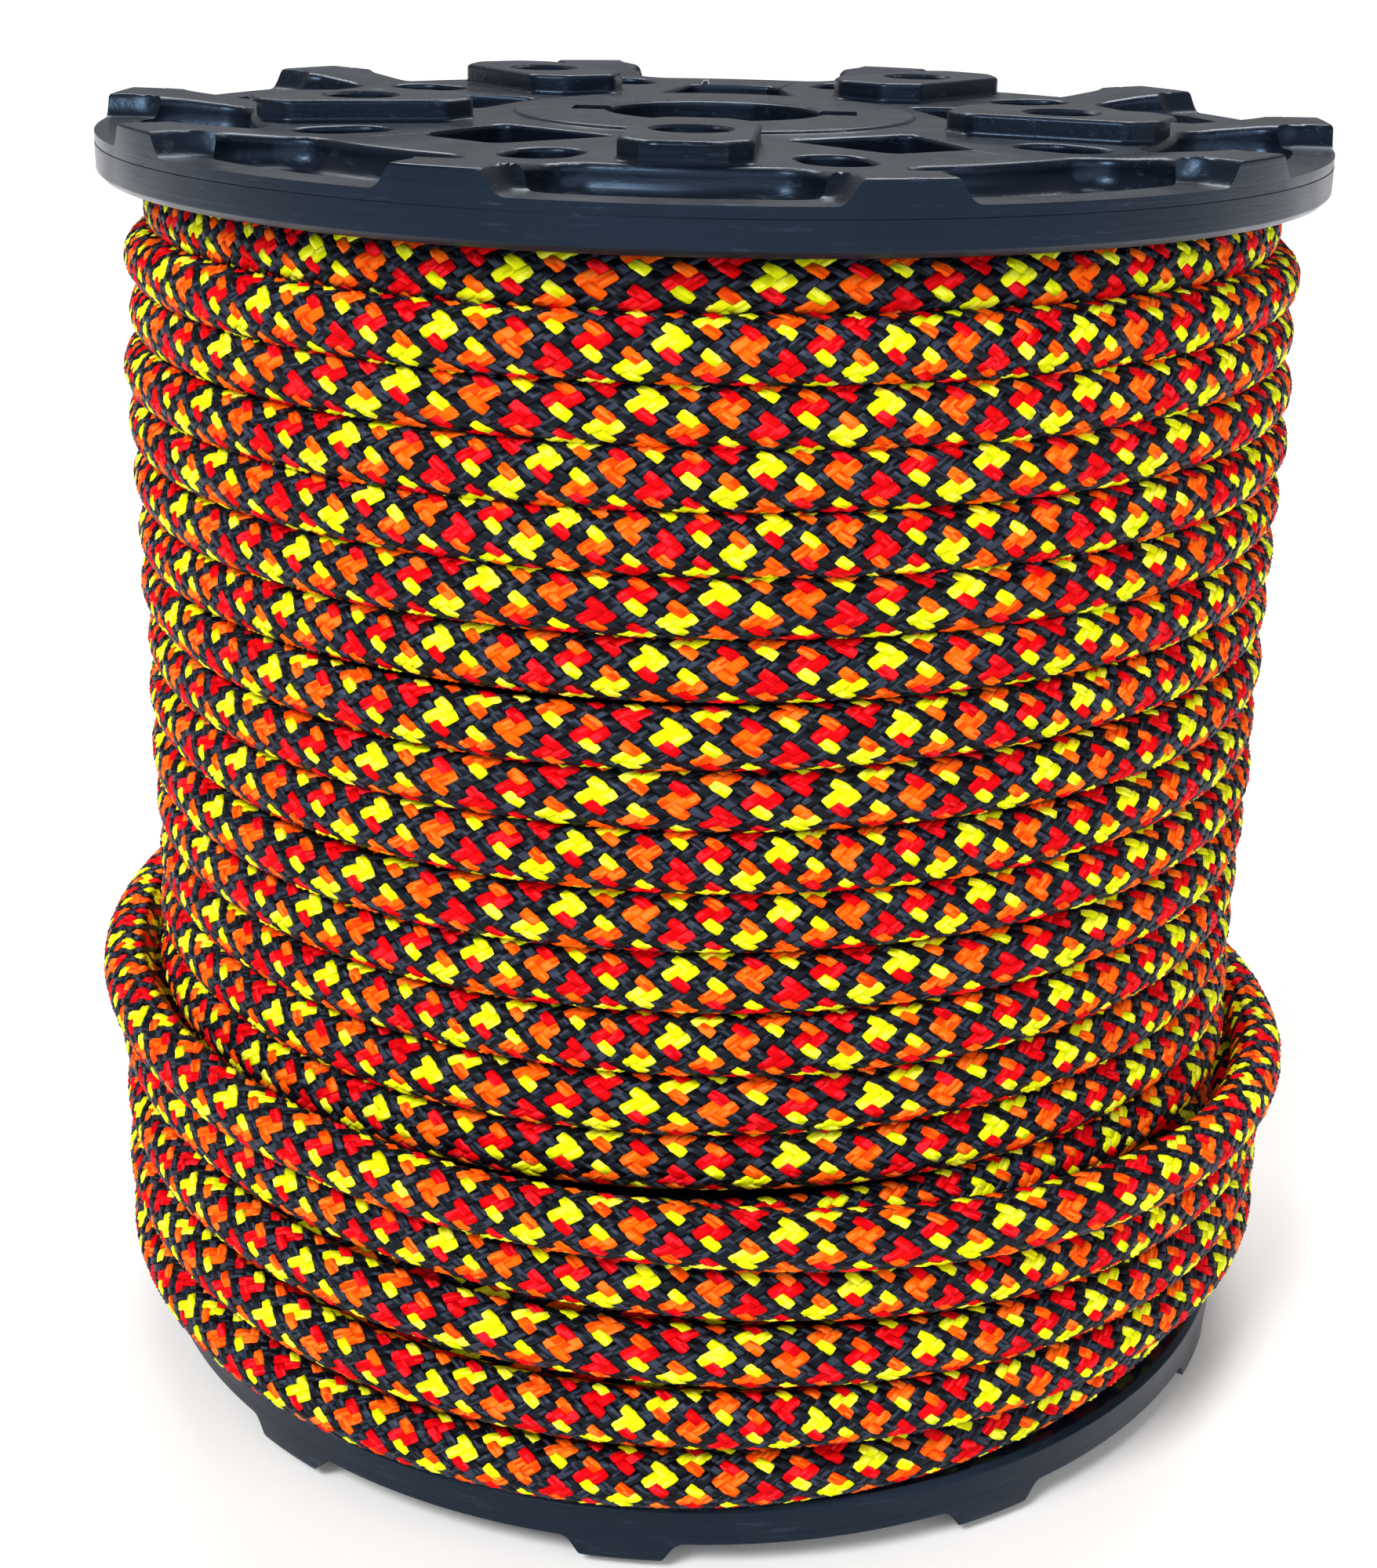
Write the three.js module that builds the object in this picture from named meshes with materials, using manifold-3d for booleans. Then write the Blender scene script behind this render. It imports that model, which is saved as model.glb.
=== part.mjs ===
// A dynamic climbing rope wound on a black moulded shipping reel.
// Two equal flanges are bolted to the ends of a hollow barrel, the lower one turned a little
// against the upper. The rope fills the space between the flanges in three full layers, a short
// fourth layer at the bottom, and one last slack turn on top of it that ends at the back.
// Millimetres, +Z up along the reel's axis, origin on the floor under the axis, -Y to the front.
import * as THREE from "three";
import { mergeVertices } from "three/addons/utils/BufferGeometryUtils.js";
import Module from "manifold-3d";

// ---- Driving dimensions ----
const FIT_GAP = 0.3; // left between pieces that touch
const CUT_MARGIN = 1; // how far a cutter runs past the face that it opens

const FLANGE_RADIUS = 115;
const TRAVERSE = 222; // between the flanges' inner faces
const TAB_LEVEL = 11.8; // heights on a flange, counted from its rope-side face
const PLATEAU_LEVEL = 10.1;
const HUB_LEVEL = 10.9;
const LEDGE_LEVEL = 7.7;
const BOSS_LEVEL = 13.9;
const RIM_CHAMFER = 1.2;
const BORE_RADIUS = 20; // the arbor bore
const HUB_RADIUS = 37.5;
const HUB_BEVEL = 1;
const DISH_RADIUS = 91; // where the slope down from the tabs meets the plateau
const KEYWAY = { width: 8, depth: 7 };

const TAB_COUNT = 10;
const TAB_HALF_ANGLE = 3.7; // degrees, at the tab's top
const TAB_FLANK_ANGLE = 2.05; // degrees that each flank adds by the time it meets the ledge
const LEDGE_INNER_RADIUS = 107.5;
const LEDGE_OVERLAP = 4; // how far a ledge runs inwards into the trough beside it
const POCKET = { inner: 87, halfAngle: 13.4, corner: 7, floorLevel: 4.6 };
const SLOT = { radius: 77, length: 17, width: 12, floorLevel: 4.1 };

const BOSS_COUNT = 5;
const BOSS = { radius: 67, length: 40, width: 22, corner: 5.5, chamfer: 0.7 };
const BOLT_WELL = { radius: 6.75, floorLevel: 4 };
const BOLT_HOLE_RADIUS = 3.4;
const LOWER_FLANGE_TURN = 15.5; // degrees that the lower flange is turned to the right
const WINDOW = { inner: 43.5, outer: 68.5, innerHalfWidth: 14, outerHalfWidth: 9, corner: 3 };

const BARREL = { outer: 79.2, inner: 75.2 };
const SPIGOT = { outer: 74.9, inner: 71.2, height: 5 };
const LUG = { inner: 59, width: 18, top: 5.7, bottom: 27, corner: 1, holeRadius: 3.3 };

const BOLT = { radius: 3, headRadius: 5, headHeight: 6, length: 27, socket: 5, socketDepth: 3 };
const WASHER = { outer: 6, inner: 3.3, thickness: 1.2 };

const ROPE_DIAMETER = 11;
const FULL_LAYERS_RADIUS = 111.7; // outside of the three full layers
const OUTER_LAYER_RADIUS = 122.2; // outside of the short fourth layer
const LAST_TURN_SLACK = 1; // it isn't pulled tight onto the layer under it
const LAYER_BEVEL = 4; // stands for the round of a layer's outermost turns
const SLEEVE = { radius: 5.9, length: 32, chamfer: 1 };

// The fourth layer's turns lie at a slant: its top is a plane, higher on the left than on the
// right. Heights are counted from the lower flange's rope-side face, azimuths from the front
// towards the right.
const OUTER_LAYER_TOP = { height: 49.2, rise: 8.2, highestAt: -62 };

// The last turn from where it leaves the fourth layer, as [azimuth, height]. It lies on that
// layer's top round the right and the front, then stays level over the left and the back.
const LAST_TURN = [
  [110, 47], [90, 47.8], [60, 50.8], [30, 55], [0, 59.8], [-30, 62.8], [-60, 64.3],
  [-90, 65], [-120, 65.6], [-150, 66.2], [-180, 66.8], [-210, 67.4], [-235, 68],
];

// ---- Derived ----
const LOWER_FACE_Z = BOSS_LEVEL; // the lower flange's rope-side face
const UPPER_FACE_Z = LOWER_FACE_Z + TRAVERSE;
const ROPE_RADIUS = ROPE_DIAMETER / 2;
const LAST_TURN_RADIUS = FULL_LAYERS_RADIUS + LAST_TURN_SLACK + SLEEVE.radius;

// ---- Facets ----
const DISC_SEGMENTS = 60;
const SMALL_SEGMENTS = 12;
const WELL_SEGMENTS = 16;
const LEDGE_ARC_STEPS = 4;
const TROUGH_DIVISIONS = 3;
const LAST_TURN_FACETS = { steps: 36, sides: 8 };

// ---- Materials ----
const reelPlastic = () =>
  new THREE.MeshStandardMaterial({ color: 0x1b1d22, roughness: 0.42, metalness: 0 });
const barrelPlastic = () =>
  new THREE.MeshStandardMaterial({ color: 0x17181b, roughness: 0.6, metalness: 0 });
const zincSteel = () =>
  new THREE.MeshStandardMaterial({ color: 0xb9bcc0, roughness: 0.35, metalness: 1 });
const ropeSheath = () =>
  new THREE.MeshStandardMaterial({ color: 0x8a3a1e, roughness: 0.85, metalness: 0 });
const shrinkSleeve = () =>
  new THREE.MeshStandardMaterial({ color: 0x101114, roughness: 0.5, metalness: 0 });

// ---- Geometry helpers ----
const radians = THREE.MathUtils.degToRad;

// A point at a radius and an azimuth in degrees, counted from the front towards the right.
function polar(radius, azimuth, z = 0) {
  const a = radians(azimuth);
  return new THREE.Vector3(radius * Math.sin(a), -radius * Math.cos(a), z);
}

// An outline of points [x, y] round a rectangle centred on (0, cy) with rounded corners. Each
// of its two sides along x may be divided, so that it can be bent.
function roundedRectangle(width, height, cy, corner, { steps = 2, divisions = 1 } = {}) {
  const points = [];
  const centres = [[1, 1], [-1, 1], [-1, -1], [1, -1]];
  const halfSide = width / 2 - corner;
  centres.forEach(([sx, sy], quadrant) => {
    for (let i = 0; i <= steps; i++) {
      const a = (Math.PI / 2) * (quadrant + i / steps);
      points.push([
        sx * halfSide + corner * Math.cos(a),
        cy + sy * (height / 2 - corner) + corner * Math.sin(a),
      ]);
    }
    const alongX = quadrant % 2 === 0;
    for (let i = 1; alongX && i < divisions; i++) {
      points.push([sx * halfSide * (1 - (2 * i) / divisions), cy + (sy * height) / 2]);
    }
  });
  return points;
}

// A closed solid through a stack of outlines, each a list of [x, y] with its own height z.
// The outlines run counter-clockwise and the stack runs upwards.
function stack(levels) {
  const count = levels[0].outline.length;
  const positions = levels.flatMap(({ outline, z }) => outline.flatMap(([x, y]) => [x, y, z]));
  const faces = [];
  for (let k = 0; k + 1 < levels.length; k++) {
    for (let i = 0; i < count; i++) {
      const j = (i + 1) % count;
      const low = k * count;
      const high = low + count;
      faces.push(low + i, low + j, high + j, low + i, high + j, high + i);
    }
  }
  const cap = (level) =>
    THREE.ShapeUtils.triangulateShape(
      level.outline.map(([x, y]) => new THREE.Vector2(x, y)),
      [],
    );
  const top = (levels.length - 1) * count;
  cap(levels[0]).forEach(([a, b, c]) => faces.push(a, c, b));
  cap(levels[levels.length - 1]).forEach(([a, b, c]) => faces.push(top + a, top + b, top + c));
  const geometry = new THREE.BufferGeometry();
  geometry.setAttribute("position", new THREE.Float32BufferAttribute(positions, 3));
  geometry.setIndex(faces);
  return geometry;
}

// Turns an outline drawn straight ahead of the axis, with y as the radius, to an azimuth.
// Bent, x is an arc length at bendRadius, so a rectangle becomes part of a ring.
function placed(outline, azimuth, bendRadius = null) {
  return outline.map(([x, radius]) => {
    if (bendRadius !== null) {
      const p = polar(radius, azimuth + THREE.MathUtils.radToDeg(x / bendRadius));
      return [p.x, p.y];
    }
    const p = polar(radius, azimuth);
    const a = radians(azimuth);
    return [p.x + x * Math.cos(a), p.y + x * Math.sin(a)];
  });
}

// An outline seen from above runs the other way once its y axis points outwards to the front.
const reversed = (outline) => [...outline].reverse();

function cylinder(radius, low, high, segments) {
  const geometry = new THREE.CylinderGeometry(radius, radius, high - low, segments);
  return geometry.rotateX(Math.PI / 2).translate(0, 0, (low + high) / 2);
}

// A solid of revolution about Z from a closed profile of [radius, z].
function revolved(profile, segments = DISC_SEGMENTS) {
  const points = [...profile, profile[0]].map(([radius, z]) => new THREE.Vector2(radius, z));
  return new THREE.LatheGeometry(points, segments).rotateX(Math.PI / 2);
}

// ---- Booleans ----
const wasm = await Module();
wasm.setup();

function toSolid(geometry) {
  const bare = geometry.clone();
  bare.deleteAttribute("normal");
  bare.deleteAttribute("uv");
  const merged = mergeVertices(bare, 1e-4);
  const solid = new wasm.Manifold(
    new wasm.Mesh({
      numProp: 3,
      vertProperties: merged.attributes.position.array,
      triVerts: new Uint32Array(merged.index.array),
    }),
  );
  if (solid.volume() > 0) return solid;
  const turned = new Uint32Array(merged.index.array).reverse();
  return new wasm.Manifold(
    new wasm.Mesh({
      numProp: 3,
      vertProperties: merged.attributes.position.array,
      triVerts: turned,
    }),
  );
}

function toGeometry(solid) {
  const mesh = solid.getMesh();
  const geometry = new THREE.BufferGeometry();
  geometry.setAttribute("position", new THREE.BufferAttribute(mesh.vertProperties, 3));
  geometry.setIndex(new THREE.BufferAttribute(mesh.triVerts, 1));
  return geometry;
}

// ---- Flange ----
// A trough with a rounded section: its outline shrinks towards the floor along a quarter arc.
function pocketCutter(azimuth) {
  const middle = (POCKET.inner + LEDGE_INNER_RADIUS) / 2;
  const width = 2 * radians(POCKET.halfAngle) * middle;
  const height = LEDGE_INNER_RADIUS - POCKET.inner;
  const coveDepth = PLATEAU_LEVEL - POCKET.floorLevel;
  const level = (z, inset) => ({
    z,
    outline: reversed(
      placed(
        roundedRectangle(
          width - 2 * inset,
          height - 2 * inset,
          middle,
          POCKET.corner - inset,
          { divisions: TROUGH_DIVISIONS },
        ),
        azimuth,
        middle,
      ),
    ),
  });
  const levels = [0, 45, 90].map((degrees) => {
    const a = radians(degrees);
    return level(
      POCKET.floorLevel + coveDepth * (1 - Math.cos(a)),
      coveDepth * (1 - Math.sin(a)),
    );
  });
  return toSolid(stack([...levels, level(TAB_LEVEL + CUT_MARGIN, 0)]));
}

// The gap between two tabs, with sloped flanks, open to the rim.
function ledgeCutter(azimuth) {
  const halfPitch = 180 / TAB_COUNT;
  const inner = LEDGE_INNER_RADIUS - LEDGE_OVERLAP;
  const outer = FLANGE_RADIUS + CUT_MARGIN;
  const flankPerMillimetre = TAB_FLANK_ANGLE / (TAB_LEVEL - LEDGE_LEVEL);
  const level = (z) => {
    const half = halfPitch - TAB_HALF_ANGLE - (TAB_LEVEL - z) * flankPerMillimetre;
    const outline = [];
    for (let i = 0; i <= LEDGE_ARC_STEPS; i++) {
      const p = polar(outer, azimuth - half + (2 * half * i) / LEDGE_ARC_STEPS);
      outline.push([p.x, p.y]);
    }
    for (let i = LEDGE_ARC_STEPS; i >= 0; i--) {
      const p = polar(inner, azimuth - half + (2 * half * i) / LEDGE_ARC_STEPS);
      outline.push([p.x, p.y]);
    }
    return { z, outline };
  };
  return toSolid(stack([level(LEDGE_LEVEL), level(TAB_LEVEL + CUT_MARGIN)]));
}

function prism(outline, low, high) {
  const shape = reversed(outline);
  return toSolid(stack([{ z: low, outline: shape }, { z: high, outline: shape }]));
}

function slotCutter(azimuth) {
  const outline = placed(
    roundedRectangle(SLOT.width, SLOT.length, SLOT.radius, SLOT.width / 2),
    azimuth,
  );
  return prism(outline, SLOT.floorLevel, TAB_LEVEL + CUT_MARGIN);
}

function windowCutter(azimuth) {
  const { inner, outer, innerHalfWidth, outerHalfWidth, corner } = WINDOW;
  const middle = (inner + outer) / 2;
  const straight = roundedRectangle(2 * innerHalfWidth, outer - inner, middle, corner);
  const outline = straight.map(([x, radius]) => {
    const outwards = (radius - inner) / (outer - inner);
    return [x * THREE.MathUtils.lerp(1, outerHalfWidth / innerHalfWidth, outwards), radius];
  });
  return prism(placed(outline, azimuth), -CUT_MARGIN, TAB_LEVEL + CUT_MARGIN);
}

function keywayCutter(azimuth) {
  const outer = BORE_RADIUS + KEYWAY.depth;
  const half = KEYWAY.width / 2;
  const outline = [[half, outer], [-half, outer], [-half, 0], [half, 0]];
  return prism(placed(outline, azimuth), -CUT_MARGIN, TAB_LEVEL + CUT_MARGIN);
}

function boss(azimuth) {
  const level = (z, inset) => {
    const l = BOSS.length / 2 - inset;
    const w = BOSS.width / 2 - inset;
    const c = BOSS.corner;
    const corners = [
      [w, BOSS.radius + l - c], [w - c, BOSS.radius + l], [-w + c, BOSS.radius + l],
      [-w, BOSS.radius + l - c], [-w, BOSS.radius - l + c], [-w + c, BOSS.radius - l],
      [w - c, BOSS.radius - l], [w, BOSS.radius - l + c],
    ];
    return { z, outline: reversed(placed(corners, azimuth)) };
  };
  return toSolid(
    stack([
      level(PLATEAU_LEVEL - CUT_MARGIN, 0),
      level(BOSS_LEVEL - BOSS.chamfer, 0),
      level(BOSS_LEVEL, BOSS.chamfer),
    ]),
  );
}

function boltHole(azimuth) {
  const at = polar(BOSS.radius, azimuth);
  const { radius, floorLevel } = BOLT_WELL;
  const well = cylinder(radius, floorLevel, BOSS_LEVEL + CUT_MARGIN, WELL_SEGMENTS);
  const hole = cylinder(BOLT_HOLE_RADIUS, -CUT_MARGIN, floorLevel + CUT_MARGIN, SMALL_SEGMENTS);
  return toSolid(well.translate(at.x, at.y, 0)).add(toSolid(hole.translate(at.x, at.y, 0)));
}

const boltAzimuths = Array.from({ length: BOSS_COUNT }, (_, i) => (360 / BOSS_COUNT) * i);
const pocketAzimuths = Array.from({ length: TAB_COUNT }, (_, i) => (360 / TAB_COUNT) * i);
const tabAzimuths = pocketAzimuths.map((azimuth) => azimuth + 180 / TAB_COUNT);
const windowAzimuths = boltAzimuths.map((azimuth) => azimuth + 180 / BOSS_COUNT);
const keywayAzimuths = [-90, 90];

// The flange lies with its rope-side face at z = 0 and its bosses up.
function flangeGeometry() {
  const profile = [
    [BORE_RADIUS, 0],
    [SPIGOT.inner, 0],
    [SPIGOT.inner, -SPIGOT.height],
    [SPIGOT.outer, -SPIGOT.height],
    [SPIGOT.outer, 0],
    [FLANGE_RADIUS - RIM_CHAMFER, 0],
    [FLANGE_RADIUS, RIM_CHAMFER],
    [FLANGE_RADIUS, TAB_LEVEL],
    [LEDGE_INNER_RADIUS, TAB_LEVEL],
    [DISH_RADIUS, PLATEAU_LEVEL],
    [HUB_RADIUS + HUB_BEVEL, PLATEAU_LEVEL],
    [HUB_RADIUS, HUB_LEVEL],
    [BORE_RADIUS, HUB_LEVEL],
  ];
  let solid = toSolid(revolved(profile));
  boltAzimuths.forEach((azimuth) => (solid = solid.add(boss(azimuth))));
  const cuts = [
    ...pocketAzimuths.map(pocketCutter),
    ...pocketAzimuths.map(ledgeCutter),
    ...tabAzimuths.map(slotCutter),
    ...windowAzimuths.map(windowCutter),
    ...keywayAzimuths.map(keywayCutter),
    ...boltAzimuths.map(boltHole),
  ];
  cuts.forEach((cut) => (solid = solid.subtract(cut)));
  return toGeometry(solid);
}

// ---- Rope ----
// A round bar swept along a curve, with flat ends square to it.
function bar(curve, radius, { steps, sides }) {
  const section = new THREE.Shape(
    Array.from({ length: sides }, (_, i) => {
      const a = (2 * Math.PI * i) / sides;
      return new THREE.Vector2(radius * Math.cos(a), radius * Math.sin(a));
    }),
  );
  return new THREE.ExtrudeGeometry(section, { extrudePath: curve, steps, bevelEnabled: false });
}

function lastTurnCurve() {
  return new THREE.CatmullRomCurve3(
    LAST_TURN.map(([azimuth, height]) => polar(LAST_TURN_RADIUS, azimuth, LOWER_FACE_Z + height)),
  );
}

// One or more layers of turns, as a ring from the lower flange's face up to a height.
function layersGeometry(inner, outer, height) {
  const low = LOWER_FACE_Z + FIT_GAP;
  const high = LOWER_FACE_Z + height;
  return revolved([
    [inner, low],
    [outer - LAYER_BEVEL, low],
    [outer, low + LAYER_BEVEL],
    [outer, high - LAYER_BEVEL],
    [outer - LAYER_BEVEL, high],
    [inner, high],
  ]);
}

// Slants a ring's top, leaving what lies near the lower flange's face as it is.
function slantTop(geometry, { rise, highestAt }) {
  const uphill = polar(1, highestAt);
  const position = geometry.getAttribute("position");
  const steepness = rise / OUTER_LAYER_RADIUS;
  for (let i = 0; i < position.count; i++) {
    const atTop = position.getZ(i) > LOWER_FACE_Z + 2 * LAYER_BEVEL;
    const along = position.getX(i) * uphill.x + position.getY(i) * uphill.y;
    if (atTop) position.setZ(i, position.getZ(i) + steepness * along);
  }
  return geometry;
}

// The sleeve carries on from the last turn's end, along the same layer.
function sleeveGeometry() {
  const { radius, length, chamfer } = SLEEVE;
  const profile = [
    [0, 0],
    [radius, 0],
    [radius, length - chamfer],
    [radius - chamfer, length],
    [0, length],
  ].map(([r, z]) => new THREE.Vector2(r, z));
  return new THREE.LatheGeometry(profile, SMALL_SEGMENTS);
}

// ---- Assembly ----
const reel = new THREE.Group();

function add(name, geometry, material, parent = reel) {
  const mesh = new THREE.Mesh(geometry, material);
  mesh.name = name;
  parent.add(mesh);
  return mesh;
}

const flange = flangeGeometry();
const upperFlange = add("upper_flange", flange, reelPlastic());
upperFlange.position.z = UPPER_FACE_Z;
const lowerFlange = add("lower_flange", flange, reelPlastic());
lowerFlange.rotation.set(0, Math.PI, radians(LOWER_FLANGE_TURN), "ZYX");
lowerFlange.position.z = LOWER_FACE_Z;

// A lug inside one end of the barrel, which a flange's bolt screws into.
function lug(azimuth, low, high) {
  const { inner, width, corner, holeRadius } = LUG;
  const outer = (BARREL.inner + BARREL.outer) / 2;
  const square = roundedRectangle(width, outer - inner, (inner + outer) / 2, corner, { steps: 1 });
  const at = polar(BOSS.radius, azimuth);
  const hole = cylinder(holeRadius, low - CUT_MARGIN, high + CUT_MARGIN, SMALL_SEGMENTS);
  const body = prism(placed(square, azimuth), low, high);
  return body.subtract(toSolid(hole.translate(at.x, at.y, 0)));
}

function barrelGeometry() {
  let solid = toSolid(
    revolved([
      [BARREL.inner, LOWER_FACE_Z + FIT_GAP],
      [BARREL.outer, LOWER_FACE_Z + FIT_GAP],
      [BARREL.outer, UPPER_FACE_Z - FIT_GAP],
      [BARREL.inner, UPPER_FACE_Z - FIT_GAP],
    ]),
  );
  boltAzimuths.forEach((azimuth) => {
    const turned = azimuth + LOWER_FLANGE_TURN;
    solid = solid.add(lug(azimuth, UPPER_FACE_Z - LUG.bottom, UPPER_FACE_Z - LUG.top));
    solid = solid.add(lug(turned, LOWER_FACE_Z + LUG.top, LOWER_FACE_Z + LUG.bottom));
  });
  return toGeometry(solid);
}

add("barrel", barrelGeometry(), barrelPlastic());

function washerGeometry() {
  return revolved(
    [
      [WASHER.inner, 0],
      [WASHER.outer, 0],
      [WASHER.outer, WASHER.thickness],
      [WASHER.inner, WASHER.thickness],
    ],
    WELL_SEGMENTS,
  );
}

// A socket-head bolt standing on z = 0 with its shank below.
function boltGeometry() {
  const { radius, headRadius, headHeight, length, socket, socketDepth } = BOLT;
  const profile = [
    [0, -length],
    [radius, -length],
    [radius, 0],
    [headRadius, 0],
    [headRadius, headHeight],
    [0, headHeight],
  ].map(([r, z]) => new THREE.Vector2(r, z));
  const body = toSolid(new THREE.LatheGeometry(profile, SMALL_SEGMENTS).rotateX(Math.PI / 2));
  const hexagonRadius = socket / Math.sqrt(3);
  const floor = headHeight - socketDepth;
  const hexagon = cylinder(hexagonRadius, floor, headHeight + CUT_MARGIN, 6);
  return toGeometry(body.subtract(toSolid(hexagon)));
}

const bolt = boltGeometry();
const washer = washerGeometry();
const ends = [
  { name: "upper", face: UPPER_FACE_Z, flip: 0, clocking: 0 },
  { name: "lower", face: LOWER_FACE_Z, flip: Math.PI, clocking: LOWER_FLANGE_TURN },
];
ends.forEach(({ name, face, flip, clocking }) => {
  boltAzimuths.forEach((azimuth, i) => {
    const outwards = Math.cos(flip);
    const set = new THREE.Group();
    set.position.copy(polar(BOSS.radius, azimuth + clocking, face));
    set.position.z += outwards * (BOLT_WELL.floorLevel + FIT_GAP);
    set.rotation.y = flip;
    reel.add(set);
    add(`${name}_washer_${i + 1}`, washer, zincSteel(), set);
    const screw = add(`${name}_bolt_${i + 1}`, bolt, zincSteel(), set);
    screw.position.z = WASHER.thickness + FIT_GAP;
  });
});

const fullLayers = layersGeometry(
  BARREL.outer + FIT_GAP,
  FULL_LAYERS_RADIUS,
  TRAVERSE - FIT_GAP,
);
add("rope_full_layers", fullLayers, ropeSheath());

const outerLayer = layersGeometry(
  FULL_LAYERS_RADIUS + FIT_GAP,
  OUTER_LAYER_RADIUS,
  OUTER_LAYER_TOP.height,
);
add("rope_outer_layer", slantTop(outerLayer, OUTER_LAYER_TOP), ropeSheath());

const lastTurn = lastTurnCurve();
add("rope_last_turn", bar(lastTurn, ROPE_RADIUS, LAST_TURN_FACETS), ropeSheath());

const sleeve = add("rope_end_sleeve", sleeveGeometry(), shrinkSleeve());
const endTangent = lastTurn.getTangent(1);
sleeve.quaternion.setFromUnitVectors(new THREE.Vector3(0, 1, 0), endTangent);
sleeve.position.copy(lastTurn.getPoint(1)).addScaledVector(endTangent, FIT_GAP);

export default reel;
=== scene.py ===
"""Looks for a dynamic climbing rope wound on a black moulded reel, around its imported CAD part.

Lengths in the tables below are millimetres, and every mesh is made in metres. Azimuths are in
degrees, counted from the front (-Y) towards the right (+X). Heights on a flange count from its
rope-side face, and heights of turns from the lower flange's rope-side face.
"""

import math

import bpy
import numpy as np
from mathutils import Matrix, Vector


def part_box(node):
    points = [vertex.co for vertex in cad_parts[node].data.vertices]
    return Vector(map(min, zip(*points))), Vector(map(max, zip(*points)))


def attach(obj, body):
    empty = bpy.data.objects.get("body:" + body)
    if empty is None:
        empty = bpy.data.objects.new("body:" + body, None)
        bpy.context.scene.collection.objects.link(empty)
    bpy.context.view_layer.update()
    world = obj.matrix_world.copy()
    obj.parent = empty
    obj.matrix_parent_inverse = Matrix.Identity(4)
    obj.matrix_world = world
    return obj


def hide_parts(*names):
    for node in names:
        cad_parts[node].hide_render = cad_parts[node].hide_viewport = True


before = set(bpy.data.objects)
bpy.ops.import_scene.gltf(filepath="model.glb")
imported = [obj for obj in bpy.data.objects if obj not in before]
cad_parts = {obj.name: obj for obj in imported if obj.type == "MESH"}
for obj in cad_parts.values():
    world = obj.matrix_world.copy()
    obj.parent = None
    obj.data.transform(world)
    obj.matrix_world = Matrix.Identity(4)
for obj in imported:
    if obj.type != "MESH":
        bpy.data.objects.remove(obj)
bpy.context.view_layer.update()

MM = 0.001
RANDOM = np.random.default_rng(11)

# ---- Camera ----
CAMERA_PLACE = (26.1, -469.6, 288.7)
CAMERA_YAW = -3.467  # degrees to the right of +Y
CAMERA_PITCH = 20.835  # degrees down
CAMERA_ROLL = 1.162
CAMERA_LENS = 62.54
CAMERA_SENSOR = 36

# ---- Reel ----
FLANGE_RADIUS = 115
GAP = 0.3  # between the barrel's ends and the flanges
LOWER_FACE_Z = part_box("barrel")[0].z / MM - GAP
UPPER_FACE_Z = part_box("barrel")[1].z / MM + GAP
TRAVERSE = UPPER_FACE_Z - LOWER_FACE_Z
LOWER_FLANGE_TURN = 15.5
TAB_LEVEL = 11.8
PLATEAU_LEVEL = 10.1
HUB_LEVEL = 10.9
LEDGE_LEVEL = 7.7
BOSS_LEVEL = 13.9
SEAM_LEVEL = 5.9
BORE_RADIUS = 20
HUB_RADIUS = 37.5
DISH_RADIUS = 91
LEDGE_INNER_RADIUS = 107.5
TAB_COUNT = 10
BOSS_COUNT = 5
BOSS_RADIUS = 67
BARREL_OUTER = 79.2
BARREL_INNER = 75.2

# ---- Rope ----
ROPE_RADIUS = 5.5
LAYER_RADII = (84.9, 95.4, 106.0, 115.8)
LAST_TURN_RADIUS = 118.6
STRANDS = 32
CROSSING_STEP = 1.475  # along the rope, from one column of crossings to the next
COARSE_STEP = 10
JOG_HALF_ANGLE = 40  # each turn passes to the next one within this angle of the back


# ---- Helpers ----
def polar(radius, azimuth, z=0.0):
    a = math.radians(azimuth)
    return (radius * math.sin(a), -radius * math.cos(a), z)


def smooth(t):
    t = np.clip(t, 0, 1)
    return t * t * (3 - 2 * t)


def linked(name, data):
    """A new object in the scene from a mesh, a light or a camera."""
    made = bpy.data.objects.new(name, data)
    bpy.context.scene.collection.objects.link(made)
    return made


def mesh_object(name, vertices, faces):
    """A new object from vertices in millimetres."""
    mesh = bpy.data.meshes.new(name)
    mesh.from_pydata([tuple(c * MM for c in v) for v in vertices], [], faces)
    mesh.update()
    return linked(name, mesh)


def applied(made):
    """Bakes an object's modifiers into its mesh."""
    graph = bpy.context.evaluated_depsgraph_get()
    mesh = bpy.data.meshes.new_from_object(made.evaluated_get(graph))
    made.modifiers.clear()
    made.data = mesh
    return made


def circle(radius, z, segments, x=0.0, y=0.0):
    turns = [2 * math.pi * i / segments for i in range(segments)]
    return [(x + radius * math.cos(a), y + radius * math.sin(a), z) for a in turns]


def revolved(profile, segments):
    """Vertices and faces of a solid of revolution from a closed profile of (radius, z)."""
    count = len(profile)
    vertices = [
        (r * math.sin(a), -r * math.cos(a), z)
        for a in np.linspace(0, 2 * math.pi, segments, endpoint=False)
        for r, z in profile
    ]
    faces = []
    for i in range(segments):
        here, there = i * count, (i + 1) % segments * count
        for k in range(count):
            n = (k + 1) % count
            faces.append((here + k, there + k, there + n, here + n))
    return vertices, faces


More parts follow.
